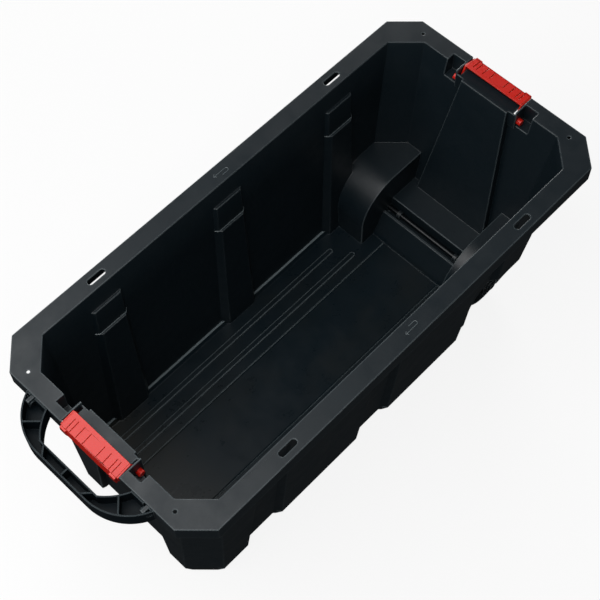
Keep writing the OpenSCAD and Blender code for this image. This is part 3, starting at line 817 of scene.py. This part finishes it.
def area_light(name, power, size, place, aim):
    """A rectangular soft light at place that faces aim."""
    lamp = bpy.data.lights.new(name, "AREA")
    lamp.shape = "RECTANGLE"
    lamp.energy = power
    lamp.size, lamp.size_y = size
    holder = bpy.data.objects.new(name, lamp)
    holder.location = place
    holder.rotation_euler = (Vector(aim) - Vector(place)).to_track_quat("-Z", "Y").to_euler()
    bpy.context.scene.collection.objects.link(holder)


def seen_rays(tree):
    """Two masks: 1 where the camera sees straight, and 1 where it sees mirrored or through."""
    path = add_node(tree, "ShaderNodeLightPath")
    mirrored = add_node(
        tree,
        "ShaderNodeMath",
        {0: path.outputs["Is Glossy Ray"], 1: path.outputs["Is Transmission Ray"]},
        operation="MAXIMUM",
    )
    return path.outputs["Is Camera Ray"], mirrored.outputs[0]


def matt_card(name):
    """Matt white card.

    The camera sees it near white with a soft shadow on it, and it is dark to all other rays,
    so that it sends little light back at the tote."""
    made, tree, _ = new_material(name)
    straight, mirrored = seen_rays(tree)
    glow_seen = add_node(tree, "ShaderNodeMath", {0: straight, 1: GROUND_GLOW}, operation="MULTIPLY")
    share = add_node(
        tree,
        "ShaderNodeMath",
        {0: mirrored, 1: GROUND_GLOW_MIRRORED, 2: glow_seen.outputs[0]},
        operation="MULTIPLY_ADD",
    )
    paint = add_node(
        tree,
        "ShaderNodeMix",
        {"Factor": straight, "A": (*linear("#202020"), 1.0), "B": (*linear("#f4f4f4"), 1.0)},
        data_type="RGBA",
    )
    matt = add_node(tree, "ShaderNodeBsdfDiffuse", {"Color": paint.outputs["Result"]})
    glow = add_node(tree, "ShaderNodeEmission", {"Color": WHITE, "Strength": 1.0})
    both = add_node(
        tree, "ShaderNodeMixShader", {0: share.outputs[0], 1: matt.outputs[0], 2: glow.outputs[0]}
    )
    close_material(tree, both)
    return made


def studio_world(name, strength):
    """A weak even light from all round, which the camera sees as plain white."""
    world = bpy.data.worlds.new(name)
    world.use_nodes = True
    tree = world.node_tree
    tree.nodes.clear()
    straight, mirrored = seen_rays(tree)
    white = add_node(
        tree,
        "ShaderNodeMath",
        {0: mirrored, 1: SKY_GLOW_MIRRORED, 2: straight},
        operation="MULTIPLY_ADD",
    )
    sky = add_node(tree, "ShaderNodeMapRange", {"Value": white.outputs[0], "To Min": strength, "To Max": 1.0})
    back = add_node(tree, "ShaderNodeBackground", {"Color": WHITE, "Strength": sky.outputs["Result"]})
    add_node(tree, "ShaderNodeOutputWorld", {"Surface": back.outputs[0]})
    return world


class TOTE_OT_stage(bpy.types.Operator):
    """Make the floor, the light and the camera"""

    bl_idname = "tote.stage"
    bl_label = "Stage"

    def execute(self, context):
        scene, settings = context.scene, context.scene.tote_stage
        corners = [(x * GROUND_HALF, y * GROUND_HALF, 0) for x, y in ((-1, -1), (1, -1), (1, 1), (-1, 1))]
        mesh = bpy.data.meshes.new("Floor")
        mesh.from_pydata(corners, [], [(0, 1, 2, 3)])
        mesh.materials.append(matt_card("Card_matt_floor"))
        floor = bpy.data.objects.new("Floor", mesh)
        floor.location.z = -GROUND_DROP
        scene.collection.objects.link(floor)

        area_light("Key", settings.key_power, (3.1, 4.0), place=(-1.5, 0.5, 2.75), aim=(-1.5, 0.5, 0.0))
        area_light("Fill", settings.fill_power, (1.6, 1.6), place=(2.6, 2.4, 1.0), aim=(0.2, 0.0, 0.3))
        area_light("Side", settings.side_power, (2.2, 0.8), place=(0.2, -3.2, 0.8), aim=(0.0, -0.2, 0.2))
        area_light("Tow_side", settings.tow_power, (1.8, 0.8), place=(-3.4, -0.3, 0.8), aim=(-0.5, 0.0, 0.2))
        scene.world = studio_world("Studio", settings.sky)

        camera = bpy.data.cameras.new("Camera")
        camera.lens, camera.sensor_width = settings.lens, 36.0
        camera.clip_start, camera.clip_end = 0.1, 60.0
        holder = bpy.data.objects.new("Camera", camera)
        holder.location = CAMERA_PLACE
        holder.rotation_euler = Euler([math.radians(a) for a in CAMERA_TURN_DEG], "XYZ")
        scene.collection.objects.link(holder)
        scene.camera = holder
        scene.view_settings.view_transform = "Standard"
        return {"FINISHED"}


class TOTE_PT_panel(bpy.types.Panel):
    """Lists the tote's settings and pieces"""

    bl_idname = "TOTE_PT_panel"
    bl_label = "Tool tote"
    bl_space_type = "VIEW_3D"
    bl_region_type = "UI"
    bl_category = "Tote"

    def draw(self, context):
        scene = context.scene
        for group in (scene.tote_colours, scene.tote_sizes, scene.tote_stage):
            for name in group.__annotations__:
                self.layout.prop(group, name)
        for step in STEPS:
            self.layout.operator(step.bl_idname)


STEPS = (TOTE_OT_tub, TOTE_OT_tow_loop, TOTE_OT_latches, TOTE_OT_wheels, TOTE_OT_axle, TOTE_OT_stage)
GROUPS = {"tote_colours": ToteColours, "tote_sizes": ToteSizes, "tote_stage": ToteStage}


def register():
    for made in (*GROUPS.values(), *STEPS, TOTE_PT_panel):
        bpy.utils.register_class(made)
    for name, group in GROUPS.items():
        setattr(bpy.types.Scene, name, bpy.props.PointerProperty(type=group))


def unregister():
    for name in GROUPS:
        delattr(bpy.types.Scene, name)
    for made in reversed((*GROUPS.values(), *STEPS, TOTE_PT_panel)):
        bpy.utils.unregister_class(made)


def main():
    """Makes every piece and the stage."""
    register()
    bpy.ops.tote.tub()
    bpy.ops.tote.tow_loop()
    bpy.ops.tote.latches()
    bpy.ops.tote.wheels()
    bpy.ops.tote.axle()
    bpy.ops.tote.stage()


if __name__ == "__main__":
    main()
